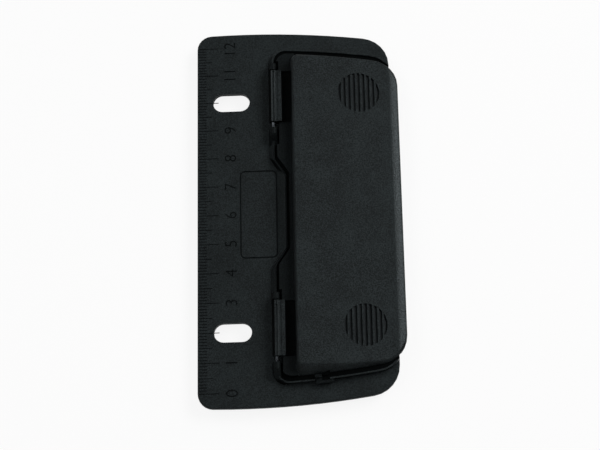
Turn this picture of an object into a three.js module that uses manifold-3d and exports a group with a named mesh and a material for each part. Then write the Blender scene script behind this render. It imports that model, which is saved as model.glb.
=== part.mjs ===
// Flat pocket hole punch for a ring binder, with a ruler edge, built from its separate pieces.
// Millimetres. X runs from the ruler edge to the paper side, Y along the ruler, Z up.
// Every piece is drawn with x counted from the ruler edge, y from the middle of the punch and z from
// the underside of the plate. The last group then moves the origin to the middle of the footprint.

import * as THREE from 'three';
import { mergeVertices } from 'three/addons/utils/BufferGeometryUtils.js';
import Module from 'manifold-3d';

const wasm = await Module();
wasm.setup();

// Hole spacing, shared by the binder slots, the punches, the hinge barrels and the thumb pads
const holeSpacing = 80;

// Plate
const plateEndMargin = 25;
const plateWidth = 65;
const plateThickness = 2;
const plateEdgeChamfer = 0.3;
const archRadius = 290;
const archCrownX = 14.2;
const rulerCornerRadius = 5;
const paperCornerRadius = 10;

// Binder slots
const slotFromEdge = 11.5;
const slotLength = 12.4;
const slotWidth = 6.4;

// Label field, a plain field inside a fine groove
const labelFromEdge = 14.1;
const labelWidth = 12.5;
const labelEndMargin = 24.75;
const labelCornerRadius = 1.8;
const labelGrooveWidth = 0.45;
const labelGrooveDepth = 0.3;

// Paper guide: floor above the paper gap, collar round the lever, stop for the paper
const paperGap = 1;
const guideThickness = 0.8;
const collarHeight = 0.7;
const collarThickness = 0.6;
const collarInset = 6.8;
const collarLeft = 25.5;
const collarCornerRadius = 4.5;
const collarPaperRadius = 9;
const collarPaperReach = 1.5;
const collarRampRun = 1.4;
const stopSetback = 3.2;
const stopDepth = 12;
const stopWall = 1.1;
const tongueReach = 2.7;
const tongueSetback = 2.65;
const tongueRun = 5.6;
const tongueFootRun = 4.2;
const tongueBendRadius = 2;
const mouthSetback = 3.5;
const mouthShoulder = 1.3;

// Lever
const leverHeight = 6.4;
const leverGap = 0.4;
const leverLeft = 31.9;
const leverOverhang = 2.7;
const leverInset = 8.85;
const leverCornerRadius = 2;
const leverPaperRadius = 9.5;
const leverNoseHeight = 0.53;
const leverWall = 1.4;
const leverTopWall = 1.3;
const leverEndDraft = THREE.MathUtils.degToRad(20);
const leverSideDraft = THREE.MathUtils.degToRad(6.5);
const leverCrease = 0.45;
const noseRun = 2.6;
const lipGap = 0.4;
const lipClearance = 0.5;

// Lever flange and hinge
const flangeGap = 0.9;
const flangeThickness = 1.4;
const flangeStepUp = 0.1;
const flangeCornerRadius = 3.5;
const hingeX = 25.9;
const hingePinRadius = 0.75;
const hingePinGrip = 1.9;
const hingePinClearance = 0.12;
const hingePinEndGap = 0.2;
const barrelRadius = 1.4;
const barrelWidth = 4.3;
const barrelEndGap = 1.9;
const barrelRunGap = 0.3;
const fluteRadius = 0.6;
const fluteDepth = 0.3;
const trenchFloor = 0.6;
const earLength = 2.3;
const earWall = 0.6;
const earTail = 3;
const earBackTail = 0.6;
const earSideGap = 0.5;
const earEndMargin = 1.56;

// Punches
const punchRadius = 3;
const punchClearance = 0.12;
const punchDepth = 1.3;
const punchNotchDepth = 0.9;
const punchCrownRadius = 10;
const punchChamfer = 0.25;
const punchShoulder = 0.12;
const presserRadius = 3.4;
const presserDepth = 0.55;
const presserGap = 0.15;
const bossRingGap = 1.19;
const bossWall = 0.6;
const bossTaper = 0.2;

// Retaining rings and return springs
const ringThickness = 0.5;
const ringWidth = 1.6;
const ringNeckDepth = 0.6;
const ringGap = 0.1;
const ringMouth = THREE.MathUtils.degToRad(40);
const springWire = 0.45;
const springTurns = 2.5;
const springFootRadius = 5.4;
const springPinGap = 0.2;
const springSeatGap = 0.05;

// Die strip and its rivets
const dieThickness = 1;
const dieWidth = 13;
const dieEndMargin = 2.83;
const dieCornerRadius = 2;
const dieGap = 0.15;
const chipHoleMargin = 1;
const rivetRadius = 0.9;
const rivetHeadRadius = 1.7;
const rivetHeadDepth = 0.6;
const rivetFlare = 0.4;
const rivetGap = 0.1;
const rivetEndMargin = 3;
const rivetRowShares = [-1, -0.35, 0.35, 1];

// Screws that hold the guide to the plate
const screwRadius = 1;
const screwHeadRadius = 1.9;
const screwHeadDepth = 1.1;
const screwRecess = 0.15;
const screwGap = 0.1;
const screwSlotWidth = 0.5;
const screwSlotDepth = 0.45;
const screwTipLength = 0.4;
const screwCover = 0.4;
const screwFromStop = 1.5;
const screwEarGap = 2.4;
const screwOuterInset = 11;

// Chip tray: skirt under the plate, hinged cover
const skirtDepth = 3.6;
const skirtWall = 1.4;
const skirtLeft = 31;
const skirtRightInset = 1.6;
const skirtInset = 10.5;
const skirtRulerRadius = 2;
const skirtPaperRadius = 7;
const coverThickness = 0.9;
const coverGap = 0.4;
const coverRecess = 0.2;
const coverCornerRadius = 0.4;
const coverBarrelRadius = 0.9;
const trunnionRadius = 0.55;
const trunnionLength = 1.3;
const trunnionGap = 0.15;
const tabWidth = 12;
const tabReach = 1.1;
const tabGap = 0.6;

// Lever lock at the zero end
const lockX = 41;
const lockLength = 6;
const lockTravel = 2.2;
const lockThumbDepth = 0.9;
const lockThumbLift = 0.15;
const lockThumbHeight = 1.25;
const lockThumbRound = 0.3;
const lockStemWidth = 1.9;
const lockFloat = 0.12;
const lockGap = 0.25;
const lockHookHeight = 1.7;
const lockHookThickness = 0.5;
const lockHookLength = 2.2;
const lockNoseThickness = 0.5;
const lockRailHeight = 0.2;
const lockRailDepth = 0.25;
const toothLength = 2.2;
const toothReach = 0.65;
const toothThickness = 0.5;
const toothGap = 0.3;

// Thumb pads: straight ribs across a round recess
const padFromEdge = 54.6;
const padRadius = 6.95;
const padRibCount = 8;
const padRibPitch = 1.61;
const padRibWidth = 0.72;
const padDepth = 0.7;

// Lever ribs
const ribThickness = 1;
const ribLift = 0.3;
const ribRowShares = [-1.17, -0.83, -0.36, 0, 0.36, 0.83, 1.17];

// Fineness of the curved faces, and the overrun of every cut
const cornerSteps = 6;
const archSteps = 9;
const bendSteps = 3;
const noseSteps = 4;
const roundSteps = 32;
const smallRoundSteps = 16;
const springSteps = 8;
const springSides = 5;
const overrun = 1;

// Levels and places that follow from the sizes above
const plateTop = plateThickness;
const slotTop = plateTop + paperGap;
const floorTop = slotTop + guideThickness;
const collarTop = floorTop + collarHeight;
const leverBottom = floorTop + leverGap;
const lipBottom = slotTop + lipGap;
const flangeBottom = leverBottom + flangeStepUp;
const flangeTop = flangeBottom + flangeThickness;
const hingeZ = flangeBottom + barrelRadius;
const crestZ = leverBottom + leverHeight;
const crestX = leverLeft + leverHeight * Math.tan(leverSideDraft);
const leverRight = plateWidth + leverOverhang;
const leverSlope = Math.atan2(leverHeight - leverNoseHeight, leverRight - crestX);
const lipInnerX = plateWidth + lipClearance;
const halfSpacing = holeSpacing / 2;
const plateLength = holeSpacing + plateEndMargin * 2;
const labelLength = holeSpacing - labelEndMargin * 2;
const tongueHalfLength = labelLength / 2 - tongueSetback;
const collarFoot = collarLeft - collarRampRun;
const collarInner = collarLeft + collarThickness;
const labelRight = labelFromEdge + labelWidth;
const stopX = collarLeft + stopSetback;
const punchX = stopX + stopDepth;
const presserZ = leverTopZ(punchX) - leverTopWall - presserDepth;
const flangeLeft = collarInner + flangeGap;
const archCentreY = plateLength / 2 - archRadius;
const earReach = barrelEndGap + earLength + earTail;
const barrelHalf = archY(collarInset, hingeX) - earEndMargin - earReach - halfSpacing;
const tongueX = labelRight + tongueReach;
const tongueMitre = Math.tan(Math.atan2(tongueX - collarLeft, tongueRun) / 2);
const rings = ringLevels();

// Levels of the punch head, the ring neck and the spring seats, from the top down.
function ringLevels() {
  const headTop = presserZ - presserGap;
  const landRadius = punchRadius - punchChamfer;
  const crownDrop = punchCrownRadius - Math.sqrt(punchCrownRadius ** 2 - landRadius ** 2);
  const landTop = headTop - crownDrop - punchChamfer;
  const neckTop = landTop - punchShoulder;
  const ringTop = neckTop - ringGap;
  const ringBottom = ringTop - ringThickness;
  return { headTop, landRadius, landTop, neckTop, ringTop, ringBottom, neckBottom: ringBottom - ringGap };
}

// Half the length of the arched ends at a distance x from the ruler edge, drawn in by an inset.
function archY(inset, x) {
  return archCentreY + Math.sqrt((archRadius - inset) ** 2 - (x - archCrownX) ** 2);
}

// Height of the lever's sloping top at x.
function leverTopZ(x) {
  return crestZ - (x - crestX) * Math.tan(leverSlope);
}

function arcPoints(cx, cy, radius, from, to, steps) {
  const points = [];
  for (let i = 0; i <= steps; i++) {
    const angle = from + ((to - from) * i) / steps;
    points.push(new THREE.Vector2(cx + radius * Math.cos(angle), cy + radius * Math.sin(angle)));
  }
  return points;
}

// Half of an outline with an arched end, from the paper side round to the ruler side.
function archedHalf({ left, right, inset, leftRadius, rightRadius, steps = archSteps }) {
  const reach = archRadius - inset;
  const rightX = right - rightRadius;
  const rightY = archCentreY + Math.sqrt((reach - rightRadius) ** 2 - (rightX - archCrownX) ** 2);
  const leftX = left + leftRadius;
  const leftY = archCentreY + Math.sqrt((reach - leftRadius) ** 2 - (leftX - archCrownX) ** 2);
  const rightTurn = Math.atan2(rightY - archCentreY, rightX - archCrownX);
  const leftTurn = Math.atan2(leftY - archCentreY, leftX - archCrownX);
  return [
    ...arcPoints(rightX, rightY, rightRadius, 0, rightTurn, cornerSteps),
    ...arcPoints(archCrownX, archCentreY, reach, rightTurn, leftTurn, steps).slice(1, -1),
    ...arcPoints(leftX, leftY, leftRadius, leftTurn, Math.PI, cornerSteps),
  ];
}

function withMirror(half) {
  const mirrored = half.map((p) => new THREE.Vector2(p.x, -p.y)).reverse();
  return [...half, ...mirrored];
}

function archedOutline(sizes) {
  return withMirror(archedHalf(sizes));
}

// The points of one rounded bend between two straight runs.
function bend(before, corner, after, radius) {
  const toBefore = before.clone().sub(corner).normalize();
  const toAfter = after.clone().sub(corner).normalize();
  const halfAngle = Math.acos(toBefore.dot(toAfter)) / 2;
  const run = radius / Math.tan(halfAngle);
  const start = corner.clone().addScaledVector(toBefore, run);
  const end = corner.clone().addScaledVector(toAfter, run);
  const bisector = toBefore.clone().add(toAfter).normalize();
  const centre = corner.clone().addScaledVector(bisector, radius / Math.sin(halfAngle));
  const from = Math.atan2(start.y - centre.y, start.x - centre.x);
  const turn = Math.PI - halfAngle * 2;
  const side = Math.sign(toAfter.cross(toBefore));
  return arcPoints(centre.x, centre.y, radius, from, from + side * turn, bendSteps);
}

// An arched outline whose ruler side steps aside for the label field.
function tongueOutline({ tongue, tongueHalf, run, ...sizes }) {
  const half = archedHalf(sizes);
  const side = half[half.length - 1];
  const outer = new THREE.Vector2(sizes.left, tongueHalf + run);
  const inner = new THREE.Vector2(tongue, tongueHalf);
  const middle = new THREE.Vector2(tongue, 0);
  return withMirror([
    ...half,
    ...bend(side, outer, inner, tongueBendRadius),
    ...bend(outer, inner, middle, tongueBendRadius),
  ]);
}

function roundedRectangle(cx, cy, width, length, radius, steps) {
  const x = width / 2 - radius;
  const y = length / 2 - radius;
  return [
    ...arcPoints(cx + x, cy + y, radius, 0, Math.PI / 2, steps),
    ...arcPoints(cx - x, cy + y, radius, Math.PI / 2, Math.PI, steps),
    ...arcPoints(cx - x, cy - y, radius, Math.PI, Math.PI * 1.5, steps),
    ...arcPoints(cx + x, cy - y, radius, Math.PI * 1.5, Math.PI * 2, steps),
  ];
}

// A closed three.js geometry as a solid that can be joined and cut.
function solid(geometry) {
  geometry.deleteAttribute('normal');
  geometry.deleteAttribute('uv');
  const merged = mergeVertices(geometry);
  const vertProperties = new Float32Array(merged.attributes.position.array);
  const triVerts = new Uint32Array(merged.index.array);
  return new wasm.Manifold(new wasm.Mesh({ numProp: 3, vertProperties, triVerts }));
}

// Joins rings of equal count into one closed body. The caps are laid out by flatten.
function skin(rows, flatten) {
  const count = rows[0].length;
  const positions = rows.flat().flatMap((p) => [p.x, p.y, p.z]);
  const index = [];
  for (let level = 0; level < rows.length - 1; level++) {
    for (let i = 0; i < count; i++) {
      const a = level * count + i;
      const b = level * count + ((i + 1) % count);
      index.push(a, b, b + count, a, b + count, a + count);
    }
  }
  const last = (rows.length - 1) * count;
  for (const [a, b, c] of THREE.ShapeUtils.triangulateShape(rows[0].map(flatten), [])) {
    index.push(a, c, b);
  }
  for (const [a, b, c] of THREE.ShapeUtils.triangulateShape(rows[rows.length - 1].map(flatten), [])) {
    index.push(last + a, last + b, last + c);
  }
  const geometry = new THREE.BufferGeometry();
  geometry.setAttribute('position', new THREE.Float32BufferAttribute(positions, 3));
  geometry.setIndex(index);
  return solid(geometry);
}

// Rings stacked upwards, each drawn anticlockwise from above.
function loft(rows) {
  return skin(rows, (p) => new THREE.Vector2(p.x, p.y));
}

function ringAt(outline, z) {
  return outline.map((p) => new THREE.Vector3(p.x, p.y, z));
}

function extrude(outline, bottom, top) {
  return loft([ringAt(outline, bottom), ringAt(outline, top)]);
}

// A profile in x and z, drawn clockwise on paper with x to the right, extruded along y.
function extrudeAlongY(profile, from, to) {
  const row = (y) => profile.map((p) => new THREE.Vector3(p.x, y, p.y));
  return skin([row(from), row(to)], (p) => new THREE.Vector2(p.z, p.x));
}

function boxShape(x0, x1, y0, y1, z0, z1) {
  const geometry = new THREE.BoxGeometry(x1 - x0, y1 - y0, z1 - z0);
  return geometry.translate((x0 + x1) / 2, (y0 + y1) / 2, (z0 + z1) / 2);
}

function box(...sides) {
  return solid(boxShape(...sides));
}

function cylinder(radius, x, y, bottom, top, steps = roundSteps, topRadius = radius) {
  const geometry = new THREE.CylinderGeometry(topRadius, radius, top - bottom, steps);
  geometry.rotateX(Math.PI / 2);
  geometry.translate(x, y, (bottom + top) / 2);
  return solid(geometry);
}

function cylinderAlongY(radius, x, z, from, to) {
  const geometry = new THREE.CylinderGeometry(radius, radius, to - from, smallRoundSteps);
  geometry.translate(x, (from + to) / 2, z);
  return solid(geometry);
}

// A turned piece: the profile lists radius and height upwards along the outside, from axis to axis.
function turned(profile, steps = roundSteps) {
  const points = profile.map(([radius, height]) => new THREE.Vector2(radius, height));
  const geometry = new THREE.LatheGeometry(points, steps);
  geometry.rotateX(Math.PI / 2);
  return solid(geometry);
}

function joined(first, ...others) {
  return others.reduce((sum, next) => sum.add(next), first);
}

function cut(first, ...others) {
  return others.reduce((rest, next) => rest.subtract(next), first);
}

const blackPlastic = new THREE.MeshStandardMaterial({ color: 0x24292b, roughness: 0.6, metalness: 0 });
const brightSteel = new THREE.MeshStandardMaterial({ color: 0xc4c8cc, roughness: 0.3, metalness: 1 });
const toolSteel = new THREE.MeshStandardMaterial({ color: 0x9a9ea3, roughness: 0.35, metalness: 1 });
const zincSteel = new THREE.MeshStandardMaterial({ color: 0xaeb4b8, roughness: 0.4, metalness: 1 });

const pieces = new THREE.Group();

function addPiece(name, shape, material, x = 0, y = 0) {
  const { vertProperties, triVerts } = shape.getMesh();
  const geometry = new THREE.BufferGeometry();
  geometry.setAttribute('position', new THREE.BufferAttribute(vertProperties, 3));
  geometry.setIndex(new THREE.BufferAttribute(triVerts, 1));
  geometry.computeVertexNormals();
  const mesh = new THREE.Mesh(geometry, material);
  mesh.name = name;
  mesh.position.set(x, y, 0);
  pieces.add(mesh);
}

// The zero end is the one where the ruler starts.
const ends = [
  { name: 'zero_end', sign: -1 },
  { name: 'far_end', sign: 1 },
];

// Places of the guide screws and of the die rivets, along the punch.
const screwX = stopX - screwFromStop;
const screwOuterY = archY(screwOuterInset, screwX);
const screwInnerY = halfSpacing - barrelHalf - barrelEndGap - earLength - screwHeadRadius - screwEarGap;
const screwRow = [-screwOuterY, -screwInnerY, screwInnerY, screwOuterY];
const screwTop = floorTop - screwCover - screwGap;
const dieHalfLength = archY(skirtInset + skirtWall, punchX) - dieEndMargin;
const rivetRow = rivetRowShares.map((share) => share * (dieHalfLength - rivetEndMargin));

// Chip tray levels and the cover's hinge line
const skirtBottom = -skirtDepth;
const coverBottom = skirtBottom + coverRecess;
const coverTop = coverBottom + coverThickness;
const coverHingeX = skirtLeft + skirtWall + coverGap + coverBarrelRadius;
const coverHingeZ = coverBottom + coverBarrelRadius;
const coverRight = plateWidth - skirtRightInset - skirtWall - coverGap;
const coverInset = skirtInset + skirtWall + coverGap;
const coverBarrelEnd = archY(coverInset, coverHingeX);
const trunnionEnd = coverBarrelEnd + trunnionLength;

function skirtBlock(draw, bottom) {
  const outline = archedOutline({
    left: skirtLeft + draw,
    right: plateWidth - skirtRightInset - draw,
    inset: skirtInset + draw,
    leftRadius: skirtRulerRadius - draw,
    rightRadius: skirtPaperRadius - draw,
  });
  return extrude(outline, bottom, 0);
}

function labelBlock(draw) {
  const outline = roundedRectangle(
    labelFromEdge + labelWidth / 2,
    0,
    labelWidth - draw * 2,
    labelLength - draw * 2,
    labelCornerRadius - draw,
    cornerSteps,
  );
  return extrude(outline, plateTop - labelGrooveDepth, plateTop + overrun);
}

function screwHole(y) {
  const radius = screwRadius + screwGap;
  const headRadius = screwHeadRadius + screwGap;
  const headTop = screwRecess + screwHeadDepth;
  return joined(
    cylinder(radius, screwX, y, 0, screwTop + screwGap, smallRoundSteps),
    cylinder(headRadius, screwX, y, screwRecess, headTop, smallRoundSteps, radius),
    cylinder(headRadius, screwX, y, -overrun, screwRecess, smallRoundSteps),
  );
}

function basePlate() {
  const outline = (draw) =>
    archedOutline({
      left: draw,
      right: plateWidth - draw,
      inset: draw,
      leftRadius: rulerCornerRadius - draw,
      rightRadius: paperCornerRadius - draw,
    });
  const plate = loft([
    ringAt(outline(plateEdgeChamfer), 0),
    ringAt(outline(0), plateEdgeChamfer),
    ringAt(outline(0), plateTop - plateEdgeChamfer),
    ringAt(outline(plateEdgeChamfer), plateTop),
  ]);
  const tray = cut(skirtBlock(0, skirtBottom), skirtBlock(skirtWall, skirtBottom - overrun));
  let body = cut(joined(plate, tray), cut(labelBlock(0), labelBlock(labelGrooveWidth)));

  const diePocket = roundedRectangle(
    punchX,
    0,
    dieWidth + dieGap * 2,
    (dieHalfLength + dieGap) * 2,
    dieCornerRadius + dieGap,
    bendSteps,
  );
  body = cut(body, extrude(diePocket, plateTop - dieThickness, plateTop + overrun));
  for (const { sign } of ends) {
    const y = sign * halfSpacing;
    const slot = roundedRectangle(slotFromEdge, y, slotLength, slotWidth, slotWidth / 2, cornerSteps);
    const chipHole = cylinder(punchRadius + chipHoleMargin, punchX, y, -overrun, plateTop);
    body = cut(body, extrude(slot, -overrun, plateTop + overrun), chipHole);
  }
  for (const y of rivetRow) {
    body = cut(body, cylinder(rivetRadius + rivetGap, punchX, y, -overrun, plateTop, smallRoundSteps));
  }
  for (const y of screwRow) {
    body = cut(body, screwHole(y));
  }

  const hingeReach = trunnionEnd + trunnionGap;
  const hingeHole = cylinderAlongY(
    trunnionRadius + trunnionGap,
    coverHingeX,
    coverHingeZ,
    -hingeReach,
    hingeReach,
  );
  const tabHalf = tabWidth / 2 + tabGap;
  const tabNotch = box(
    coverRight,
    plateWidth,
    -tabHalf,
    tabHalf,
    skirtBottom - overrun,
    coverTop + tabGap,
  );
  return cut(body, hingeHole, tabNotch);
}

function collarOutline(draw) {
  return tongueOutline({
    left: collarLeft + draw,
    right: plateWidth + collarPaperReach - draw,
    inset: collarInset + draw,
    leftRadius: collarCornerRadius - draw,
    rightRadius: collarPaperRadius - draw,
    tongue: tongueX + draw,
    tongueHalf: tongueHalfLength + draw * tongueMitre,
    run: tongueRun,
  });
}

function collarFootOutline() {
  return tongueOutline({
    left: collarFoot,
    right: plateWidth + collarPaperReach,
    inset: collarInset,
    leftRadius: collarCornerRadius,
    rightRadius: collarPaperRadius,
    tongue: labelRight,
    tongueHalf: labelLength / 2,
    run: tongueFootRun,
  });
}

// An ear that holds one end of a hinge pin: a round-topped block with a tail that falls to the floor.
function hingeEar(start, side, tail) {
  const radius = hingePinRadius + earWall;
  const crown = arcPoints(hingeX, hingeZ, radius, Math.PI, 0, cornerSteps);
  const row = (y, share) =>
    [
      new THREE.Vector2(hingeX + radius, plateTop),
      new THREE.Vector2(collarFoot, plateTop),
      ...crown.map((p) => new THREE.Vector2(p.x, plateTop + (p.y - plateTop) * share)),
    ].map((p) => new THREE.Vector3(p.x, y, p.y));
  const tailShare = (floorTop - plateTop) / (hingeZ + radius - plateTop);
  const full = start + side * earLength;
  const rows = [row(start, 1)];
  for (let i = 0; i <= bendSteps; i++) {
    const fall = (1 - Math.cos((Math.PI * i) / bendSteps)) / 2;
    rows.push(row(full + (side * tail * i) / bendSteps, THREE.MathUtils.lerp(1, tailShare, fall)));
  }
  const ear = skin(side > 0 ? rows : rows.reverse(), (p) => new THREE.Vector2(p.z, p.x));
  return ear.intersect(extrude(collarFootOutline(), plateTop, hingeZ + radius));
}

// Room inside the collar for the lever's own outline, where the two come close at the paper side.
function leverBay() {
  const outline = archedOutline({
    left: leverLeft,
    right: leverRight + lipClearance,
    inset: leverInset - lipClearance,
    leftRadius: leverCornerRadius,
    rightRadius: leverPaperRadius + lipClearance,
  });
  return extrude(outline, floorTop, collarTop + overrun);
}

// The lock slides along the collar's wall, so its pieces are drawn along that wall.
const lockTurn = Math.asin((lockX - archCrownX) / (archRadius - collarInset));
const lockHalf = lockLength / 2;
const lockStemLeft = -lockHalf + lockGap;
const lockRailZ = slotTop + guideThickness / 2;

function lockBox(...sides) {
  return solid(boxShape(...sides).rotateZ(lockTurn).translate(lockX, -archY(collarInset, lockX), 0));
}

function lockWay() {
  const notch = lockBox(
    lockStemLeft - lockGap,
    lockStemLeft + lockStemWidth + lockTravel + lockGap,
    -overrun,
    collarThickness + overrun,
    floorTop,
    collarTop + overrun,
  );
  const rail = lockBox(
    -lockHalf - lockGap,
    lockHalf + lockTravel + lockGap,
    -overrun,
    lockRailDepth,
    lockRailZ - lockRailHeight / 2 - lockFloat,
    lockRailZ + lockRailHeight / 2 + lockFloat,
  );
  return joined(notch, rail);
}

function paperGuide() {
  const far = plateLength / 2;
  let body = loft([ringAt(collarFootOutline(), plateTop), ringAt(collarOutline(0), collarTop)]);
  body = cut(body, extrude(collarOutline(collarThickness), floorTop, collarTop + overrun), leverBay());

  for (const { sign } of ends) {
    const y = sign * halfSpacing;
    const nearFace = y - barrelHalf - barrelEndGap;
    const farFace = y + barrelHalf + barrelRunGap;
    const bossFoot = punchRadius + punchClearance + bossWall + bossTaper;
    const bossTop = rings.ringBottom - bossRingGap;
    const boss = cylinder(bossFoot, punchX, y, slotTop, bossTop, roundSteps, bossFoot - bossTaper);
    const bore = cylinder(punchRadius + punchClearance, punchX, y, 0, bossTop + overrun);
    const pocket = box(0, stopX - stopWall, nearFace, farFace, 0, hingeZ + barrelRadius);
    const pinHole = cylinderAlongY(
      hingePinRadius + hingePinClearance,
      hingeX,
      hingeZ,
      nearFace - hingePinGrip - hingePinEndGap,
      farFace + earLength + earBackTail,
    );
    body = joined(body, boss, hingeEar(nearFace, -1, earTail), hingeEar(farFace, 1, earBackTail));
    body = cut(body, bore, pocket, pinHole);
  }

  const paper = box(stopX, plateWidth + collarPaperReach, -far, far, 0, slotTop);
  const edge = box(plateWidth, leverRight, -far, far, 0, collarTop + overrun);
  const mouthHalf = archY(leverInset, plateWidth) - mouthShoulder;
  const mouth = box(plateWidth - mouthSetback, leverRight, -mouthHalf, mouthHalf, 0, collarTop);
  body = cut(body, paper, edge, mouth, lockWay());
  for (const y of screwRow) {
    body = cut(body, screwHole(y));
  }
  return body;
}

// One ring of the lever's outside. The turn runs from the bottom edge, 0, to the crest, a quarter.
function leverRing(turn) {
  const rise = Math.sin(turn);
  const crease = turn < Math.PI / 2 ? 0 : leverCrease;
  const noseDraw = noseRun * (1 - Math.cos(turn));
  const outline = archedOutline({
    left: leverLeft + leverHeight * Math.tan(leverSideDraft) * rise + crease,
    right: leverRight - noseDraw,
    inset: leverInset,
    leftRadius: leverCornerRadius,
    rightRadius: leverPaperRadius - noseDraw,
  });
  return outline.map((p) => {
    const height = leverTopZ(p.x) - leverBottom;
    const endDraw = height * Math.tan(leverEndDraft) * rise + crease;
    const share = 1 - endDraw / archY(leverInset, p.x);
    return new THREE.Vector3(p.x, p.y * share, leverBottom + height * rise);
  });
}

// The lever's inside, drawn in from the outside by a wall and down from the top by a drop.
function leverInside(wall, drop) {
  const rightX = crestX + (leverHeight - drop) / Math.tan(leverSlope);
  const outline = (rise) =>
    archedOutline({
      left: leverLeft + wall + leverHeight * Math.tan(leverSideDraft) * rise,
      right: rightX,
      inset: leverInset + wall,
      leftRadius: leverCornerRadius - wall / 2,
      rightRadius: leverPaperRadius - noseRun,
    });
  const top = outline(1).map((p) => {
    const endDraw = (leverTopZ(p.x) - leverBottom) * Math.tan(leverEndDraft);
    const share = 1 - endDraw / archY(leverInset + wall, p.x);
    return new THREE.Vector3(p.x, p.y * share, leverTopZ(p.x) - drop);
  });
  return loft([ringAt(outline(0), lipBottom - overrun), ringAt(outline(0), leverBottom), top]);
}

function leverFlange() {
  const draw = collarThickness + flangeGap;
  const outline = tongueOutline({
    left: flangeLeft,
    right: leverLeft + leverWall,
    inset: leverInset,
    leftRadius: flangeCornerRadius,
    rightRadius: leverWall / 2,
    steps: 1,
    tongue: tongueX + draw,
    tongueHalf: tongueHalfLength + draw * tongueMitre,
    run: tongueRun,
  });
  let flange = extrude(outline, flangeBottom, flangeTop);
  const barrelRight = hingeX - barrelRadius + barrelWidth;
  const barrelTop = hingeZ + barrelRadius;
  for (const { sign } of ends) {
    const y = sign * halfSpacing;
    const start = y - barrelHalf;
    const end = y + barrelHalf;
    const room = earReach + earSideGap;
    const backRoom = barrelRunGap + earLength + earBackTail + earSideGap;
    const earRight = hingeX + hingePinRadius + earWall + earSideGap;
    const flute = cylinderAlongY(
      fluteRadius,
      hingeX + fluteRadius * 2,
      barrelTop + fluteRadius - fluteDepth,
      start - overrun,
      end + overrun,
    );
    flange = cut(
      flange,
      box(0, earRight, start - room, start, flangeBottom - overrun, flangeTop + overrun),
      box(0, earRight, end, end + backRoom, flangeBottom - overrun, flangeTop + overrun),
      box(0, leverLeft + leverWall / 2, start, end, flangeBottom + trenchFloor, flangeTop + overrun),
    );
    flange = joined(
      flange,
      cylinderAlongY(barrelRadius, hingeX, hingeZ, start, end),
      box(hingeX, barrelRight, start, end, flangeBottom, barrelTop),
    );
    flange = cut(
      flange,
      flute,
      cylinderAlongY(hingePinRadius + hingePinClearance, hingeX, hingeZ, start - overrun, end + overrun),
    );
  }
  return flange;
}

// The recess of a thumb pad without its ribs, square to the sloping top.
function padRecess(y) {
  const turned = (shape) => shape.rotateY(leverSlope).translate(padFromEdge, y, leverTopZ(padFromEdge));
  const disc = new THREE.CylinderGeometry(padRadius, padRadius, padDepth * 2, roundSteps).rotateX(Math.PI / 2);
  let recess = solid(turned(disc));
  for (let i = 0; i < padRibCount; i++) {
    const offset = (i - (padRibCount - 1) / 2) * padRibPitch;
    const rib = new THREE.BoxGeometry(padRibWidth, (padRadius + overrun) * 2, (padDepth + overrun) * 2);
    recess = cut(recess, solid(turned(rib.translate(offset, 0, 0))));
  }
  return recess;
}

function pressLever() {
  const rows = [ringAt(leverRing(0), lipBottom)];
  for (let i = 0; i <= noseSteps; i++) {
    rows.push(leverRing((Math.PI / 2) * (i / noseSteps)));
  }
  const far = plateLength / 2;
  const underside = box(0, lipInnerX, -far, far, 0, leverBottom);
  let body = cut(loft(rows), underside, leverInside(leverWall, leverTopWall));

  const core = leverInside(leverWall / 2, leverTopWall / 2);
  for (const share of ribRowShares) {
    const y = share * halfSpacing;
    const half = ribThickness / 2;
    const rib = box(leverLeft, leverRight, y - half, y + half, leverBottom + ribLift, crestZ);
    body = joined(body, rib.intersect(core));
  }
  for (const { sign } of ends) {
    const y = sign * halfSpacing;
    body = joined(body, cylinder(presserRadius, punchX, y, presserZ, crestZ).intersect(core));
  }
  body = joined(body, leverFlange(), lockTooth());

  for (const { sign } of ends) {
    body = cut(body, padRecess(sign * halfSpacing));
  }
  return body;
}

// The lever's tooth that the lock reaches over, on the wall of the zero end.
function lockTooth() {
  const face = leverInset - collarInset;
  const left = lockHookLength - lockHalf + toothGap;
  const bottom = leverBottom + flangeStepUp;
  return lockBox(
    left,
    left + toothLength,
    face - toothReach,
    face + leverWall / 2,
    bottom,
    bottom + toothThickness,
  );
}

function lockSlide() {
  const thumbBottom = slotTop + lockThumbLift;
  const thumbTop = thumbBottom + lockThumbHeight;
  const thumbOuter = -lockFloat - lockThumbDepth;
  const hookInner = collarThickness + lockFloat;
  const hookTop = floorTop + lockFloat + lockHookHeight;
  const noseReach = leverInset - collarInset - lockGap;
  const thumb = lockBox(-lockHalf, lockHalf, thumbOuter, -lockFloat, thumbBottom, thumbTop);
  const stem = lockBox(
    lockStemLeft,
    lockStemLeft + lockStemWidth,
    -lockFloat - lockThumbDepth / 2,
    hookInner + lockHookThickness / 2,
    floorTop + lockFloat,
    thumbTop,
  );
  const rail = lockBox(
    -lockHalf,
    lockHalf,
    -lockFloat - lockThumbDepth / 2,
    lockRailDepth - lockFloat,
    lockRailZ - lockRailHeight / 2,
    lockRailZ + lockRailHeight / 2,
  );
  const hook = lockBox(
    -lockHalf,
    lockHookLength - lockHalf,
    hookInner,
    hookInner + lockHookThickness,
    floorTop + lockFloat,
    hookTop,
  );
  const nose = lockBox(
    -lockHalf,
    lockHookLength - lockHalf,
    hookInner,
    noseReach,
    hookTop - lockNoseThickness,
    hookTop,
  );
  const ends = [-1, 1].map((side) => {
    const edge = side * lockHalf;
    return lockBox(
      Math.min(edge, edge - side * lockThumbRound),
      Math.max(edge, edge - side * lockThumbRound),
      thumbOuter - overrun,
      thumbOuter + lockThumbRound,
      thumbBottom - overrun,
      thumbTop + overrun,
    );
  });
  return joined(cut(thumb, ...ends), stem, rail, hook, nose);
}

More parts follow.
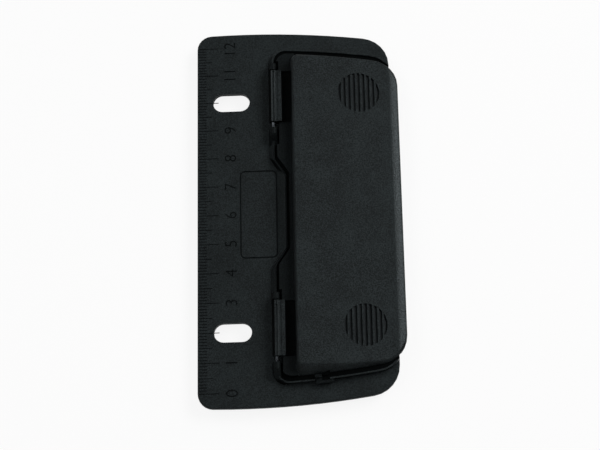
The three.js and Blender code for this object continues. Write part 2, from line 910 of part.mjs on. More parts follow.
// A punch with a ground V across its cutting end, a ring neck and a domed head for the lever.
function punchPin() {
  const tip = plateTop - punchDepth;
  const neckRadius = punchRadius - ringNeckDepth;
  const crown = [];
  for (let i = 0; i <= bendSteps; i++) {
    const radius = rings.landRadius * (1 - i / bendSteps);
    const drop = punchCrownRadius - Math.sqrt(punchCrownRadius ** 2 - radius ** 2);
    crown.push([radius, rings.headTop - drop]);
  }
  const body = turned([
    [0, tip],
    [punchRadius, tip],
    [punchRadius, rings.neckBottom],
    [neckRadius, rings.neckBottom],
    [neckRadius, rings.neckTop],
    [punchRadius, rings.neckTop],
    [punchRadius, rings.landTop],
    ...crown,
  ]);
  const reach = punchRadius + overrun;
  const notch = [
    new THREE.Vector2(-reach, tip - overrun),
    new THREE.Vector2(-punchRadius, tip),
    new THREE.Vector2(0, tip + punchNotchDepth),
    new THREE.Vector2(punchRadius, tip),
    new THREE.Vector2(reach, tip - overrun),
  ];
  return cut(body, extrudeAlongY(notch, -reach, reach));
}

function retainingRing() {
  const inner = punchRadius - ringNeckDepth + ringGap;
  const outer = inner + ringWidth;
  const from = Math.PI + ringMouth / 2;
  const to = Math.PI * 3 - ringMouth / 2;
  const steps = roundSteps - bendSteps;
  const outline = [
    ...arcPoints(0, 0, outer, from, to, steps),
    ...arcPoints(0, 0, inner, to, from, steps),
  ];
  return extrude(outline, rings.ringBottom, rings.ringTop);
}

// A conical return spring: a round wire wound from the guide's floor up to the retaining ring.
function returnSpring() {
  const half = springWire / 2;
  const chord = Math.cos(Math.PI / springSteps);
  const topRadius = (punchRadius + springPinGap + half) / chord;
  const bottom = floorTop + springSeatGap + half;
  const top = rings.ringBottom - springSeatGap - half;
  const count = springTurns * springSteps;
  const centre = (turns) => {
    const share = turns / springTurns;
    const radius = THREE.MathUtils.lerp(springFootRadius, topRadius, share);
    const angle = turns * Math.PI * 2;
    const z = THREE.MathUtils.lerp(bottom, top, share);
    return new THREE.Vector3(radius * Math.cos(angle), radius * Math.sin(angle), z);
  };
  const rows = [];
  for (let i = 0; i <= count; i++) {
    const middle = centre(i / springSteps);
    const angle = Math.atan2(middle.y, middle.x);
    const row = [];
    for (let side = 0; side < springSides; side++) {
      const turn = (side / springSides) * Math.PI * 2;
      const out = half * Math.cos(turn);
      const up = half * Math.sin(turn);
      const point = new THREE.Vector3(out * Math.cos(angle), out * Math.sin(angle), up);
      row.push(point.add(middle));
    }
    rows.push(row.reverse());
  }
  const flatten = (p) => new THREE.Vector2(p.z, Math.hypot(p.x, p.y));
  return { shape: skin(rows, flatten), gap: leastGap(centre) };
}

// Least clear distance between turns, measured between points half a step apart.
function leastGap(centre) {
  let least = Infinity;
  const perTurn = springSteps * 2;
  const count = springTurns * perTurn;
  for (let i = 0; i <= count; i++) {
    for (let j = i + perTurn / 2; j <= count; j++) {
      const a = centre(i / perTurn);
      const b = centre(j / perTurn);
      least = Math.min(least, a.distanceTo(b) - springWire);
    }
  }
  return least;
}

function dieStrip() {
  const outline = roundedRectangle(punchX, 0, dieWidth, dieHalfLength * 2, dieCornerRadius, bendSteps);
  let strip = extrude(outline, plateTop - dieThickness, plateTop);
  for (const { sign } of ends) {
    const radius = punchRadius + punchClearance;
    strip = cut(strip, cylinder(radius, punchX, sign * halfSpacing, 0, plateTop + overrun));
  }
  for (const y of rivetRow) {
    const radius = rivetRadius + rivetGap;
    const flareBottom = plateTop - rivetFlare - rivetGap;
    const flareRadius = radius + rivetFlare + rivetGap;
    strip = cut(
      strip,
      cylinder(radius, punchX, y, 0, plateTop + overrun, smallRoundSteps),
      cylinder(radius, punchX, y, flareBottom, plateTop, smallRoundSteps, flareRadius),
    );
  }
  return strip;
}

function dieRivet() {
  const top = plateTop - rivetGap / 2;
  return turned(
    [
      [0, -rivetHeadDepth],
      [rivetHeadRadius - rivetHeadDepth / 2, -rivetHeadDepth],
      [rivetHeadRadius, -rivetHeadDepth / 2],
      [rivetHeadRadius, 0],
      [rivetRadius, 0],
      [rivetRadius, top - rivetFlare],
      [rivetRadius + rivetFlare, top],
      [0, top],
    ],
    smallRoundSteps,
  );
}

function guideScrew() {
  const screw = turned(
    [
      [0, screwRecess],
      [screwHeadRadius, screwRecess],
      [screwRadius, screwRecess + screwHeadDepth],
      [screwRadius, screwTop - screwTipLength],
      [screwRadius / 2, screwTop],
      [0, screwTop],
    ],
    smallRoundSteps,
  );
  const half = screwSlotWidth / 2;
  const reach = screwHeadRadius + overrun;
  return cut(screw, box(-half, half, -reach, reach, 0, screwRecess + screwSlotDepth));
}

function chipCover() {
  const outline = archedOutline({
    left: coverHingeX,
    right: coverRight,
    inset: coverInset,
    leftRadius: coverCornerRadius,
    rightRadius: skirtPaperRadius - skirtWall - coverGap,
  });
  const barrel = cylinderAlongY(
    coverBarrelRadius,
    coverHingeX,
    coverHingeZ,
    -coverBarrelEnd,
    coverBarrelEnd,
  );
  const trunnions = cylinderAlongY(trunnionRadius, coverHingeX, coverHingeZ, -trunnionEnd, trunnionEnd);
  const tab = box(
    coverRight - coverThickness,
    coverRight + tabReach,
    -tabWidth / 2,
    tabWidth / 2,
    coverBottom,
    coverTop,
  );
  return joined(extrude(outline, coverBottom, coverTop), barrel, trunnions, tab);
}

addPiece('base_plate', basePlate(), blackPlastic);
addPiece('paper_guide', paperGuide(), blackPlastic);
addPiece('press_lever', pressLever(), blackPlastic);
addPiece('lock_slide', lockSlide(), blackPlastic);
addPiece('chip_cover', chipCover(), blackPlastic);
addPiece('die_strip', dieStrip(), toolSteel);

for (const { name, sign } of ends) {
  const y = sign * halfSpacing;
  const pinStart = y - barrelHalf - barrelEndGap - hingePinGrip;
  const pinEnd = y + barrelHalf + barrelRunGap + hingePinGrip;
  const spring = returnSpring();
  console.log(`${name} return spring: least gap to itself ${spring.gap.toFixed(2)} mm`);
  addPiece(
    `hinge_pin_${name}`,
    cylinderAlongY(hingePinRadius, hingeX, hingeZ, pinStart, pinEnd),
    brightSteel,
  );
  addPiece(`punch_pin_${name}`, punchPin(), brightSteel, punchX, y);
  addPiece(`retaining_ring_${name}`, retainingRing(), toolSteel, punchX, y);
  addPiece(`return_spring_${name}`, spring.shape, zincSteel, punchX, y);
}

rivetRow.forEach((y, i) => {
  addPiece(`die_rivet_${i + 1}`, dieRivet(), zincSteel, punchX, y);
});
screwRow.forEach((y, i) => {
  addPiece(`guide_screw_${i + 1}`, guideScrew(), zincSteel, screwX, y);
});

const holePunch = new THREE.Group();
holePunch.name = 'hole_punch';
holePunch.add(pieces);
pieces.position.set(-leverRight / 2, 0, skirtDepth);

export default holePunch;
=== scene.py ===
# The looks of a mini hole punch, dressed on the solids of its frame
import math

import bmesh
import bpy
from mathutils import Matrix, Vector


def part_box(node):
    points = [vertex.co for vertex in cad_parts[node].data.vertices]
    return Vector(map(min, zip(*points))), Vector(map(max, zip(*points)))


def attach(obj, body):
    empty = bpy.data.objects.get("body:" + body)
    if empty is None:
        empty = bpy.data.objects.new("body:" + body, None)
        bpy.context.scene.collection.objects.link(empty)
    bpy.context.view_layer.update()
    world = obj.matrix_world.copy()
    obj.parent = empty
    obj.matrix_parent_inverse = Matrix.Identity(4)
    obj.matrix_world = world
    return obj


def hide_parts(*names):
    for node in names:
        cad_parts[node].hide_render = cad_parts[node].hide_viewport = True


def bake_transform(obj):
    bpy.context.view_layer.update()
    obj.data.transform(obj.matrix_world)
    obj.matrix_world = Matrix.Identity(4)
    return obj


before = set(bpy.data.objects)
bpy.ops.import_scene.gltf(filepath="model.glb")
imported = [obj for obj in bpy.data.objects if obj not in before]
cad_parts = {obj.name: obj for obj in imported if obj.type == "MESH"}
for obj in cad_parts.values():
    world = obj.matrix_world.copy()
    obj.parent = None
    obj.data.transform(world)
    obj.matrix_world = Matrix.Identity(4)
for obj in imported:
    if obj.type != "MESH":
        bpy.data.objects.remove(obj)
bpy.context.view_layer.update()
mm = 0.001

# The ruler's edge and the plate's top, in metres
plateLow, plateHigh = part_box("base_plate")
rulerEdge = plateLow.x
plateTop = plateHigh.z

# The two punches along the lever, in millimetres. The thumb pads lie over them
punchPlaces = {"zero_end": -40, "far_end": 40}
print("frame loaded")


# Small helpers


def linear(hexColour):
    channels = [int(hexColour[i : i + 2], 16) / 255 for i in (1, 3, 5)]
    curve = [c / 12.92 if c <= 0.04045 else ((c + 0.055) / 1.055) ** 2.4 for c in channels]
    return (*curve, 1.0)


def addNode(owner, kind, inputs=None, **settings):
    node = owner.node_tree.nodes.new(kind)
    for name, value in settings.items():
        setattr(node, name, value)
    for name, value in (inputs or {}).items():
        if isinstance(value, bpy.types.NodeSocket):
            owner.node_tree.links.new(value, node.inputs[name])
        else:
            node.inputs[name].default_value = value
    return node


def newMaterial(name):
    material = bpy.data.materials.new(name)
    material.use_nodes = True
    material.node_tree.nodes.clear()
    return material


def grainScale(size):
    return 1 / (size * mm)  # a noise texture's scale for features of that many millimetres


def setTones(ramp, look):
    for element, position, tone in zip(ramp.elements, look["tones"], ("dark", "light")):
        element.position = position
        element.color = linear(look[tone])


# Materials

noiseRange = {"From Min": 0.3, "From Max": 0.7}  # most of a noise texture lies between these

# Injection-moulded black polystyrene from a spark-eroded mould: a soft, even grain that catches
# light in specks. Sizes are in millimetres
mouldedLook = {
    "dark": "#050707",
    "light": "#1e2324",
    "tones": (0.43, 0.59),  # the noise is dark up to the first and light from the second
    "roughness": (0.54, 0.66),
    "grain": 0.42,  # drawn coarser than the real 0.1 mm, so that it shows
    "grainNoise": {"Detail": 4.0, "Roughness": 0.75},
    "grainShare": 0.8,  # how much of the tone is grain, and the rest is mottle
    "grainDepth": 0.12,
    "grainStrength": 0.6,
    "mottle": 9.0,
    "mottleNoise": {"Detail": 2.0, "Roughness": 0.5},
    "ior": 1.5,
    "specular": 0.17,
    "sheen": "#edfbff",
    "worn": None,
}


def makePolystyrene(name, look):
    material = newMaterial(name)
    place = addNode(material, "ShaderNodeTexCoord")
    where = place.outputs["Object"]
    grain = addNode(
        material,
        "ShaderNodeTexNoise",
        {"Vector": where, "Scale": grainScale(look["grain"]), **look["grainNoise"]},
    )
    mottle = addNode(
        material,
        "ShaderNodeTexNoise",
        {"Vector": where, "Scale": grainScale(look["mottle"]), **look["mottleNoise"]},
    )
    tone = addNode(
        material,
        "ShaderNodeMix",
        {"Factor": look["grainShare"], "A": mottle.outputs["Fac"], "B": grain.outputs["Fac"]},
        data_type="FLOAT",
    )
    colour = addNode(material, "ShaderNodeValToRGB", {"Fac": tone.outputs["Result"]})
    setTones(colour.color_ramp, look)
    dullness = addNode(
        material,
        "ShaderNodeMapRange",
        {
            **noiseRange,
            "Value": mottle.outputs["Fac"],
            "To Min": look["roughness"][0],
            "To Max": look["roughness"][1],
        },
    )
    roughness = dullness.outputs["Result"]
    worn = look["worn"]
    if worn:  # rubbed smooth by thumbs between two places along X
        along = addNode(material, "ShaderNodeSeparateXYZ", {"Vector": where})
        rubbed = addNode(
            material,
            "ShaderNodeMapRange",
            {
                "Value": along.outputs["X"],
                "From Min": worn["from"] * mm,
                "From Max": worn["to"] * mm,
                "To Max": worn["share"],
            },
            interpolation_type="SMOOTHSTEP",
        )
        blend = addNode(
            material,
            "ShaderNodeMix",
            {"Factor": rubbed.outputs["Result"], "A": roughness, "B": worn["roughness"]},
            data_type="FLOAT",
        )
        roughness = blend.outputs["Result"]
    bump = addNode(
        material,
        "ShaderNodeBump",
        {
            "Height": grain.outputs["Fac"],
            "Strength": look["grainStrength"],
            "Distance": look["grainDepth"] * mm,
        },
    )
    shader = addNode(
        material,
        "ShaderNodeBsdfPrincipled",
        {
            "Base Color": colour.outputs["Color"],
            "Roughness": roughness,
            "Normal": bump.outputs["Normal"],
            "IOR": look["ior"],
            "Specular IOR Level": look["specular"],
            "Specular Tint": linear(look["sheen"]),
        },
    )
    addNode(material, "ShaderNodeOutputMaterial", {"Surface": shader.outputs["BSDF"]})
    return material


blackPolystyrene = makePolystyrene("moulded black polystyrene", mouldedLook)
# The lever has the same grain, and thumbs have rubbed its nose smooth, so that it shines softly
leverPolystyrene = makePolystyrene(
    "thumb polished black polystyrene",
    {
        **mouldedLook,
        "dark": "#020303",
        "light": "#252a2b",
        "grainDepth": 0.13,
        "specular": 0.14,
        "worn": {"from": 30.8, "to": 31.6, "roughness": 0.2, "share": 1.0},
    },
)
# The walls, the grooves of the pads and the marks come from polished parts of the mould and are
# smooth.
# Their deeper black is painted shade
smoothShadedPolystyrene = makePolystyrene(
    "smooth black polystyrene painted with shade",
    {
        **mouldedLook,
        "dark": "#020303",
        "light": "#090b0c",
        "roughness": (0.3, 0.38),
        "grainDepth": 0.01,
        "specular": 0.09,
    },
)
# The gaps and trenches get a near black, matt colour: painted shadow for the deep shade in them
gapShadowPolystyrene = makePolystyrene(
    "black polystyrene painted with the gaps' shadow",
    {
        **mouldedLook,
        "dark": "#010202",
        "light": "#050606",
        "grainDepth": 0.05,
        "specular": 0.03,
    },
)
# The flange behind the lever, the ears, the collar's left, the lock and the label's groove are
# matt too, a shade lighter than the gaps; their dark colour is painted shade
halfShadePolystyrene = makePolystyrene(
    "black polystyrene painted with half shade",
    {
        **mouldedLook,
        "dark": "#040505",
        "light": "#111516",
        "grainDepth": 0.05,
        "specular": 0.08,
    },
)
# The barrels' crowns come from a polished part of the mould, and carry a thin bright line
barrelPolystyrene = makePolystyrene(
    "polished black polystyrene of the barrels",
    {
        **mouldedLook,
        "dark": "#020303",
        "light": "#1b1f20",
        "roughness": (0.26, 0.32),
        "grainDepth": 0.02,
        "specular": 0.2,
    },
)

# What all the steels share. Sizes are in millimetres
steelLook = {
    "tones": (0.35, 0.65),
    "grainNoise": {"Detail": 4.0, "Roughness": 0.7},
    "grainStrength": 0.3,
    "stainNoise": {"Detail": 3.0},
}


def makeSteel(name, look):
    material = newMaterial(name)
    place = addNode(material, "ShaderNodeTexCoord")
    where = place.outputs["Object"]
    stretch = addNode(material, "ShaderNodeMapping", {"Vector": where, "Scale": look["stretch"]})
    lines = addNode(
        material,
        "ShaderNodeTexNoise",
        {
            "Vector": stretch.outputs["Vector"],
            "Scale": grainScale(look["grain"]),
            **look["grainNoise"],
        },
    )
    stain = addNode(
        material,
        "ShaderNodeTexNoise",
        {"Vector": where, "Scale": grainScale(look["stain"]), **look["stainNoise"]},
    )
    colour = addNode(material, "ShaderNodeValToRGB", {"Fac": stain.outputs["Fac"]})
    setTones(colour.color_ramp, look)
    dullness = addNode(
        material,
        "ShaderNodeMapRange",
        {
            **noiseRange,
            "Value": lines.outputs["Fac"],
            "To Min": look["roughness"][0],
            "To Max": look["roughness"][1],
        },
    )
    bump = addNode(
        material,
        "ShaderNodeBump",
        {
            "Height": lines.outputs["Fac"],
            "Strength": look["grainStrength"],
            "Distance": look["grainDepth"] * mm,
        },
    )
    shader = addNode(
        material,
        "ShaderNodeBsdfPrincipled",
        {
            "Base Color": colour.outputs["Color"],
            "Metallic": 1.0,
            "Roughness": dullness.outputs["Result"],
            "Normal": bump.outputs["Normal"],
        },
    )
    addNode(material, "ShaderNodeOutputMaterial", {"Surface": shader.outputs["BSDF"]})
    return material


# Drawn silver steel, centreless ground: fine rings round the pin
groundSteel = makeSteel(
    "centreless ground silver steel",
    {
        **steelLook,
        "dark": "#34373a",
        "light": "#484c50",
        "roughness": (0.18, 0.26),
        "grain": 0.3,  # coarser than real grinding marks, so that they show
        "grainDepth": 0.003,
        "stain": 3.0,
        "stretch": (0.15, 1.0, 1.0),
    },
)
# Hardened tool steel, surface ground and oiled: greyer, with long grinding lines
toolSteel = makeSteel(
    "surface ground tool steel",
    {
        **steelLook,
        "dark": "#6f7378",
        "light": "#8c9095",
        "roughness": (0.28, 0.45),
        "grain": 0.25,  # coarser than real grinding lines, so that they show
        "grainDepth": 0.004,
        "stain": 6.0,
        "stretch": (1.0, 0.06, 1.0),
    },
)
# Bright zinc plating over mild steel: a little blue, cloudy
zincSteel = makeSteel(
    "bright zinc plated steel",
    {
        **steelLook,
        "dark": "#8f979c",
        "light": "#b4babd",
        "roughness": (0.25, 0.42),
        "grain": 0.2,  # coarser than the real plating's grain, so that it shows
        "grainDepth": 0.003,
        "stain": 1.2,
        "stretch": (1.0, 1.0, 1.0),
    },
)
print("materials made")


# Mouldings: merged copies of the frame's solids, with their sharp edges rounded. Lengths are in
# millimetres and angles in degrees

dressing = {
    "mergeWithin": 0.002,
    "cutWithin": 0.001,
    "flatBelow": 0.8,  # faces that meet at a smaller angle become one
    "shortestEdge": 0.01,
    "roundFrom": 34,  # edges that turn by more are rounded
    "roundSteps": 2,
    "creaseFrom": 50,  # edges that turn by more stay sharp in the shading
}

# What a moulding has if its own dictionary doesn't say otherwise
moulding = {
    "finish": blackPolystyrene,
    "partings": (),  # places along Y where flat faces are parted, through their holes and grooves
    "patches": (),  # another finish on the faces inside a box: finish, lowest and highest corner
    # walls get the smooth finish, whose darker colour is painted shade
    "smoothShadedWalls": 0,  # faces whose normal rises less than this are smooth
    "paintedShadeLeft": None,
    "pads": None,
}

platePartings = sorted((-51.6, -22.3, 0, 22.3, 51.6, *punchPlaces.values()))
plateMoulding = {
    **moulding,
    "node": "base_plate",
    "piece": "plate_moulding",
    "body": "base",
    "radius": 0.1,
    "partings": platePartings,
    # the label's groove is darkened as painted shade
    "patches": ((halfShadePolystyrene, (-20, -15.5, 5.2), (-7, 15.5, 5.4)),),  # the label's groove
}

earSpans = ((-57, -50.5), (-31, -27), (23, 29.5), (49, 53))  # the four ears, along Y
guideMoulding = {
    **moulding,
    "node": "paper_guide",
    "piece": "guide_moulding",
    "body": "base",
    "radius": 0.14,
    "partings": platePartings,
    "patches": (
        # the ears, the collar's top at the left and the floor inside the collar are darkened as
        # painted shade
        *((halfShadePolystyrene, (-12, low, 7.45), (-5, high, 12)) for low, high in earSpans),
        (halfShadePolystyrene, (-12, -51.6, 8.04), (-3.5, 51.6, 8.15)),  # the collar's top, left
        (gapShadowPolystyrene, (-12, -66, 7.3), (36, 66, 7.45)),  # the floor inside the collar
    ),
    # the collar's walls get the smooth finish, darker as painted shade
    "smoothShadedWalls": 0.35,
}

leverMoulding = {
    **moulding,
    "node": "press_lever",
    "piece": "lever_moulding",
    "body": "lever",
    "radius": 0.12,
    "partings": sorted((0, *punchPlaces.values())),
    "finish": leverPolystyrene,
    "patches": (
        # the trenches, the top of the flange and the lock's tooth are darkened as painted shade
        (gapShadowPolystyrene, (-10, -60, 7), (-1.9, 60, 9.2)),  # the trenches beside the barrels
        (halfShadePolystyrene, (-10, -60, 9.2), (-1.9, 60, 9.35)),  # the top of the flange
        (barrelPolystyrene, (-8.66, -60, 10.4), (-7.2, 60, 10.8)),  # the barrels' crowns
        (gapShadowPolystyrene, (6, -58, 7.8), (9.6, -54.5, 8.5)),  # the tooth for the lock
    ),
    # the left sides of the barrels, painted near black as shadow: faces beyond this X that look
    # that way
    "paintedShadeLeft": {"x": -8.2, "normal": -0.5},
    # the thumb pads lie on the sloping top, and the bottoms of their grooves at these depths are
    # darkened as painted shade
    "pads": {
        "x": 20.75,
        "y": tuple(punchPlaces.values()),
        "radius": 6.98,
        "top": 10.52,
        "slope": 0.1674,
        "grooves": (0.2, 1),
    },
}

lockMoulding = {
    **moulding,
    "node": "lock_slide",
    "piece": "lock_moulding",
    "body": "lock",
    "radius": 0.06,
    # the lock is darkened as painted shade
    "finish": halfShadePolystyrene,
}

coverMoulding = {
    **moulding,
    "node": "chip_cover",
    "piece": "cover_moulding",
    "body": "cover",
    "radius": 0.1,
    "partings": (0,),
}


def joinFlatFaces(shape, partings):
    bmesh.ops.remove_doubles(shape, verts=shape.verts, dist=dressing["mergeWithin"] * mm)
    for y in partings:
        cut = bmesh.ops.bisect_plane(
            shape,
            geom=[*shape.verts, *shape.edges, *shape.faces],
            dist=dressing["cutWithin"] * mm,
            plane_co=(0, y * mm, 0),
            plane_no=(0, 1, 0),
        )
        for part in cut["geom_cut"]:
            if isinstance(part, bmesh.types.BMEdge):
                part.seam = True
    bmesh.ops.dissolve_limit(
        shape,
        angle_limit=math.radians(dressing["flatBelow"]),
        verts=shape.verts,
        edges=shape.edges,
        delimit={"SEAM"},
    )
    bmesh.ops.dissolve_degenerate(shape, dist=dressing["shortestEdge"] * mm, edges=shape.edges)


def roundEdges(shape, radius):
    turn = math.radians(dressing["roundFrom"])
    sharp = [
        edge
        for edge in shape.edges
        if len(edge.link_faces) == 2 and edge.calc_face_angle(0.0) > turn
    ]
    bmesh.ops.bevel(
        shape,
        geom=sharp,
        offset=radius * mm,
        segments=dressing["roundSteps"],
        profile=0.5,
        affect="EDGES",
        clamp_overlap=False,
        material=-1,
    )


def finishFaces(shape, settings):
    finishes = [settings["finish"], smoothShadedPolystyrene]
    smooth = 1  # the place of smoothShadedPolystyrene in that list
    for finish, lowCorner, highCorner in settings["patches"]:
        low, high = Vector(lowCorner) * mm, Vector(highCorner) * mm
        if finish not in finishes:
            finishes.append(finish)
        for face in shape.faces:
            centre = face.calc_center_median()
            if all(low[i] <= centre[i] <= high[i] for i in range(3)):
                face.material_index = finishes.index(finish)
    left, pads = settings["paintedShadeLeft"], settings["pads"]
    # walls, the barrels' left sides and the grooves of the pads get darker finishes here, as
    # painted shade
    for face in shape.faces:
        centre = face.calc_center_median()
        if abs(face.normal.z) < settings["smoothShadedWalls"]:
            face.material_index = smooth
        if left and face.normal.x < left["normal"] and centre.x < left["x"] * mm:
            face.material_index = finishes.index(gapShadowPolystyrene)
        if pads:
            x, y, z = centre / mm
            depth = pads["top"] - pads["slope"] * (x - pads["x"]) - z
            reach = min(math.hypot(x - pads["x"], y - padY) for padY in pads["y"])
            if reach < pads["radius"] and pads["grooves"][0] < depth < pads["grooves"][1]:
                face.material_index = smooth
    return finishes


def finishPiece(name, mesh, body, materials):
    piece = bpy.data.objects.new(name, mesh)
    bpy.context.scene.collection.objects.link(piece)
    for material in materials:
        mesh.materials.append(material)
    mesh.polygons.foreach_set("use_smooth", [True] * len(mesh.polygons))
    mesh.set_sharp_from_angle(angle=math.radians(dressing["creaseFrom"]))
    normals = piece.modifiers.new("even_normals", "WEIGHTED_NORMAL")
    normals.keep_sharp = True
    if body:  # a spring is attached to no body here
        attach(piece, body)
    return piece


def dressMoulding(settings):
    node = settings["node"]
    shape = bmesh.new()
    shape.from_mesh(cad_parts[node].data)
    joinFlatFaces(shape, settings["partings"])
    roundEdges(shape, settings["radius"])
    materials = finishFaces(shape, settings)
    mesh = bpy.data.meshes.new(settings["piece"])
    shape.to_mesh(mesh)
    shape.free()
    piece = finishPiece(settings["piece"], mesh, settings["body"], materials)
    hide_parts(node)
    print("dressed", node)


for settings in (plateMoulding, guideMoulding, leverMoulding, lockMoulding, coverMoulding):
    dressMoulding(settings)

# The frame's own metal pieces keep their shape
ends = ("zero_end", "far_end")
fasteners = (1, 2, 3, 4)
metalNodes = (
    (toolSteel, ["die_strip", *(f"retaining_ring_{end}" for end in ends)]),
    (groundSteel, [f"{pin}_{end}" for pin in ("hinge_pin", "punch_pin") for end in ends]),
    (zincSteel, [f"{name}_{i}" for name in ("die_rivet", "guide_screw") for i in fasteners]),
)
for material, nodes in metalNodes:
    for node in nodes:
        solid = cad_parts[node]
        solid.data.materials.clear()
        solid.data.materials.append(material)
print("metal pieces finished")


# The return springs, wound from round wire, cone shaped so that the turns sink into each other.
# Lengths are in millimetres

springs = {
    "x": 6.85,
    "wire": 0.45,
    "wireResolution": 3,
    "turns": 2.5,
    "stepsPerTurn": 40,
    "foot": {"radius": 5.4, "height": 7.675},
    "head": {"radius": 3.71, "height": 9.219},
}


def makeSpring(end, y):
    path = bpy.data.curves.new("spring_path", "CURVE")
    path.dimensions = "3D"
    path.bevel_depth = springs["wire"] / 2 * mm
    path.bevel_resolution = springs["wireResolution"]
    path.use_fill_caps = True
    wire = path.splines.new("POLY")
    steps = round(springs["turns"] * springs["stepsPerTurn"])
    wire.points.add(steps)
    foot, head = springs["foot"], springs["head"]
    for i, point in enumerate(wire.points):
        share = i / steps
        angle = share * springs["turns"] * 2 * math.pi
        radius = foot["radius"] + share * (head["radius"] - foot["radius"])
        height = foot["height"] + share * (head["height"] - foot["height"])
        x = springs["x"] + radius * math.cos(angle)
        point.co = (x * mm, (y + radius * math.sin(angle)) * mm, height * mm, 1)
    holder = bpy.data.objects.new("spring_path", path)
    bpy.context.scene.collection.objects.link(holder)
    bpy.context.view_layer.update()
    mesh = bpy.data.meshes.new_from_object(holder)
    bpy.data.objects.remove(holder)
    mesh.name = f"spring_wire_{end}"
    piece = finishPiece(mesh.name, mesh, None, [zincSteel])
    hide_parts(f"return_spring_{end}")
    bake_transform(piece)


for end, y in punchPlaces.items():
    makeSpring(end, y)
print("springs wound")


# Ruler marks, a thin relief on the plate, darkened as painted shade. Lengths are in millimetres,
# across from the ruler's edge

ruler = {
    "length": 120,  # from the 0 to the 12
    "tickWidth": 0.24,
    "height": 0.06,
    "ticksFrom": 0.35,
    "millimetre": 3.1,  # how far each kind of tick reaches
    "half": 4.9,
    "centimetre": 7.2,
    "digitsFrom": 9.2,
    "digitsTo": 13.0,
    "stroke": -0.012,  # makes the digits' strokes thinner, as a share of the type's size
    "typeDepth": 0.05,  # half the type's thickness, before it is made as low as the ticks
    "slots": (2, 10),  # no number where a binder slot is
}


def makeTicks():
    shape = bmesh.new()
    for i in range(ruler["length"] + 1):
        y = i - ruler["length"] / 2
        reach = ruler["millimetre"]
        if i % 5 == 0:
            reach = ruler["half"]
        if i % 10 == 0:
            reach = ruler["centimetre"]
        width = reach - ruler["ticksFrom"]
        size = Matrix.Diagonal((width * mm, ruler["tickWidth"] * mm, ruler["height"] * mm, 1))
        x = rulerEdge + (ruler["ticksFrom"] + width / 2) * mm
        centre = Vector((x, y * mm, plateTop + ruler["height"] / 2 * mm))
        bmesh.ops.create_cube(shape, size=1.0, matrix=Matrix.Translation(centre) @ size)
    mesh = bpy.data.meshes.new("ruler_ticks")
    shape.to_mesh(mesh)
    shape.free()
    finishPiece("ruler_ticks", mesh, "base", [smoothShadedPolystyrene])


def makeNumber(value):
    text = bpy.data.curves.new("number", "FONT")
    text.body = str(value)
    text.size = 1.0
    text.extrude = ruler["typeDepth"]
    text.offset = ruler["stroke"]
    text.align_x = "CENTER"
    letters = bpy.data.objects.new("number", text)
    bpy.context.scene.collection.objects.link(letters)
    bpy.context.view_layer.update()
    mesh = bpy.data.meshes.new_from_object(letters)
    bpy.data.objects.remove(letters)
    xs = [v.co.x for v in mesh.vertices]
    ys = [v.co.y for v in mesh.vertices]
    scale = (ruler["digitsTo"] - ruler["digitsFrom"]) * mm / (max(ys) - min(ys))
    thickness = ruler["height"] * mm / (2 * ruler["typeDepth"])
    centre = Matrix.Translation((-(min(xs) + max(xs)) / 2, -min(ys), 0))
    size = Matrix.Diagonal((scale, scale, thickness, 1))
    turn = Matrix.Rotation(math.radians(90), 4, "Z")
    x = rulerEdge + ruler["digitsTo"] * mm
    y = (value * 10 - ruler["length"] / 2) * mm
    move = Matrix.Translation((x, y, plateTop + ruler["height"] / 2 * mm))
    mesh.transform(move @ turn @ size @ centre)
    mesh.name = f"ruler_number_{value}"
    finishPiece(mesh.name, mesh, "base", [smoothShadedPolystyrene])


makeTicks()
for value in range(ruler["length"] // 10 + 1):
    if value not in ruler["slots"]:
        makeNumber(value)
print("ruler made")


# Floor, lamps and camera

# Matt white paper. The camera and mirrored rays see it glow, with this share of its own shading
floorLook = {"size": 3.0, "colour": "#f4f4f4", "roughness": 0.5, "shading": 0.12}


def makeFloor():
    shape = bmesh.new()
    bmesh.ops.create_grid(shape, x_segments=1, y_segments=1, size=floorLook["size"] / 2)
    mesh = bpy.data.meshes.new("floor")
    shape.to_mesh(mesh)
    shape.free()
    floor = bpy.data.objects.new("floor", mesh)
    bpy.context.scene.collection.objects.link(floor)
    material = newMaterial("white paper sweep")
    matte = addNode(
        material,
        "ShaderNodeBsdfDiffuse",
        {"Color": linear(floorLook["colour"]), "Roughness": floorLook["roughness"]},
    )
    glow = addNode(material, "ShaderNodeEmission", {"Color": (1, 1, 1, 1), "Strength": 1.0})
    rays = addNode(material, "ShaderNodeLightPath")
    mirrored = addNode(
        material,
        "ShaderNodeMath",
        {0: rays.outputs["Is Glossy Ray"], 1: rays.outputs["Is Transmission Ray"]},
        operation="MAXIMUM",
    )
    shown = addNode(
        material,
        "ShaderNodeMath",
        {0: rays.outputs["Is Camera Ray"], 1: mirrored.outputs["Value"]},
        operation="MAXIMUM",
    )
    seen = addNode(
        material,
        "ShaderNodeMath",
        {0: shown.outputs["Value"], 1: 1 - floorLook["shading"]},
        operation="MULTIPLY",
    )
    both = addNode(
        material,
        "ShaderNodeMixShader",
        {0: seen.outputs["Value"], 1: matte.outputs["BSDF"], 2: glow.outputs["Emission"]},
    )
    addNode(material, "ShaderNodeOutputMaterial", {"Surface": both.outputs["Shader"]})
    mesh.materials.append(material)


# Places and sizes in metres, power in watts
lamps = {
    "farRight": {"from": (0.635, 0.572, 0.692), "power": 3.2, "size": 0.5},
    "farLeft": {"from": (-0.55, 0.55, 0.78), "power": 2.1, "size": 0.5},
    "right": {"from": (0.68, 0.27, 0.84), "power": 5.6, "size": 0.5},
    "left": {"from": (-0.465, -0.1, 0.997), "power": 1.5, "size": 0.5},
    "front": {"from": (0.1, -0.56, 0.94), "power": 1.3, "size": 0.3},
}


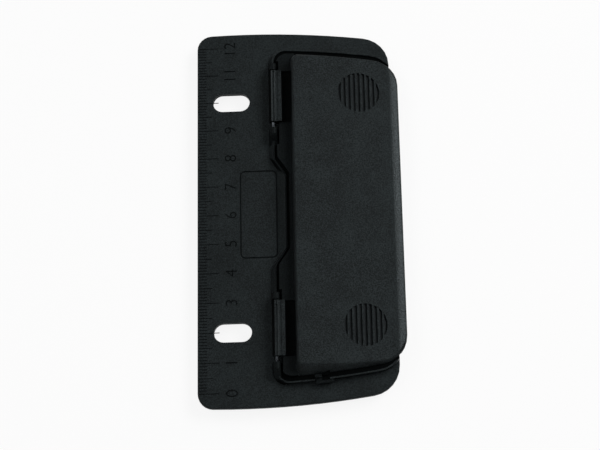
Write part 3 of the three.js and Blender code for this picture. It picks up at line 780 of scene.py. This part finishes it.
def makeLamp(name, settings):
    light = bpy.data.lights.new(name, "AREA")
    light.energy = settings["power"]
    light.size = settings["size"]
    lamp = bpy.data.objects.new(name, light)
    lamp.location = settings["from"]
    lamp.rotation_euler = Vector(settings["from"]).to_track_quat("Z", "Y").to_euler()
    bpy.context.scene.collection.objects.link(lamp)


# White all round for the camera. Metal and gloss see that white low down and a dark ceiling above.
# The wall's top and the ceiling are heights of a ray's direction, from 0, level, to 1, straight up
worldLook = {"colour": "#ffffff", "strength": 0.09, "wallTop": 0.05, "ceiling": 0.4}


def makeWorld():
    world = bpy.data.worlds.new("studio")
    world.use_nodes = True
    world.node_tree.nodes.clear()
    rays = addNode(world, "ShaderNodeLightPath")
    mirrored = addNode(
        world,
        "ShaderNodeMath",
        {0: rays.outputs["Is Glossy Ray"], 1: rays.outputs["Is Transmission Ray"]},
        operation="MAXIMUM",
    )
    sky = addNode(world, "ShaderNodeTexCoord")
    height = addNode(world, "ShaderNodeSeparateXYZ", {"Vector": sky.outputs["Generated"]})
    wall = addNode(
        world,
        "ShaderNodeMapRange",
        {
            "Value": height.outputs["Z"],
            "From Min": worldLook["wallTop"],
            "From Max": worldLook["ceiling"],
            "To Min": 1.0,
            "To Max": 0.0,
        },
        interpolation_type="SMOOTHSTEP",
    )
    reflected = addNode(
        world,
        "ShaderNodeMath",
        {0: mirrored.outputs["Value"], 1: wall.outputs["Result"]},
        operation="MULTIPLY",
    )
    shown = addNode(
        world,
        "ShaderNodeMath",
        {0: rays.outputs["Is Camera Ray"], 1: reflected.outputs["Value"]},
        operation="MAXIMUM",
    )
    strength = addNode(
        world,
        "ShaderNodeMapRange",
        {"Value": shown.outputs["Value"], "To Min": worldLook["strength"], "To Max": 1.0},
    )
    background = addNode(
        world,
        "ShaderNodeBackground",
        {"Color": linear(worldLook["colour"]), "Strength": strength.outputs["Result"]},
    )
    addNode(world, "ShaderNodeOutputWorld", {"Surface": background.outputs["Background"]})
    bpy.context.scene.world = world


# The photo's camera, found from the ruler, the slots and the outline of the plate
photoCamera = {
    "place": (24.76, -171.80, 524.29),  # millimetres
    "right": (0.99838, -0.01897, -0.05365),
    "forward": (-0.04525, 0.30705, -0.95062),
    "lens": 99.4,
    "sensor": 36.0,
    "nearest": 0.01,  # metres
    "farthest": 20,
}


def makeCamera():
    camera = bpy.data.cameras.new("photo_camera")
    camera.lens = photoCamera["lens"]
    camera.sensor_width = photoCamera["sensor"]
    camera.clip_start = photoCamera["nearest"]
    camera.clip_end = photoCamera["farthest"]
    holder = bpy.data.objects.new("photo_camera", camera)
    across = Vector(photoCamera["right"]).normalized()
    back = -Vector(photoCamera["forward"])
    back = (back - across * back.dot(across)).normalized()
    up = back.cross(across)
    turn = Matrix((across, up, back)).transposed().to_4x4()
    place = Vector(photoCamera["place"]) * mm
    holder.matrix_world = Matrix.Translation(place) @ turn
    bpy.context.scene.collection.objects.link(holder)
    bpy.context.scene.camera = holder


makeFloor()
for name, settings in lamps.items():
    makeLamp(name, settings)
makeWorld()
makeCamera()
bpy.context.scene.view_settings.view_transform = "Standard"
print("stage, lamps and camera made")
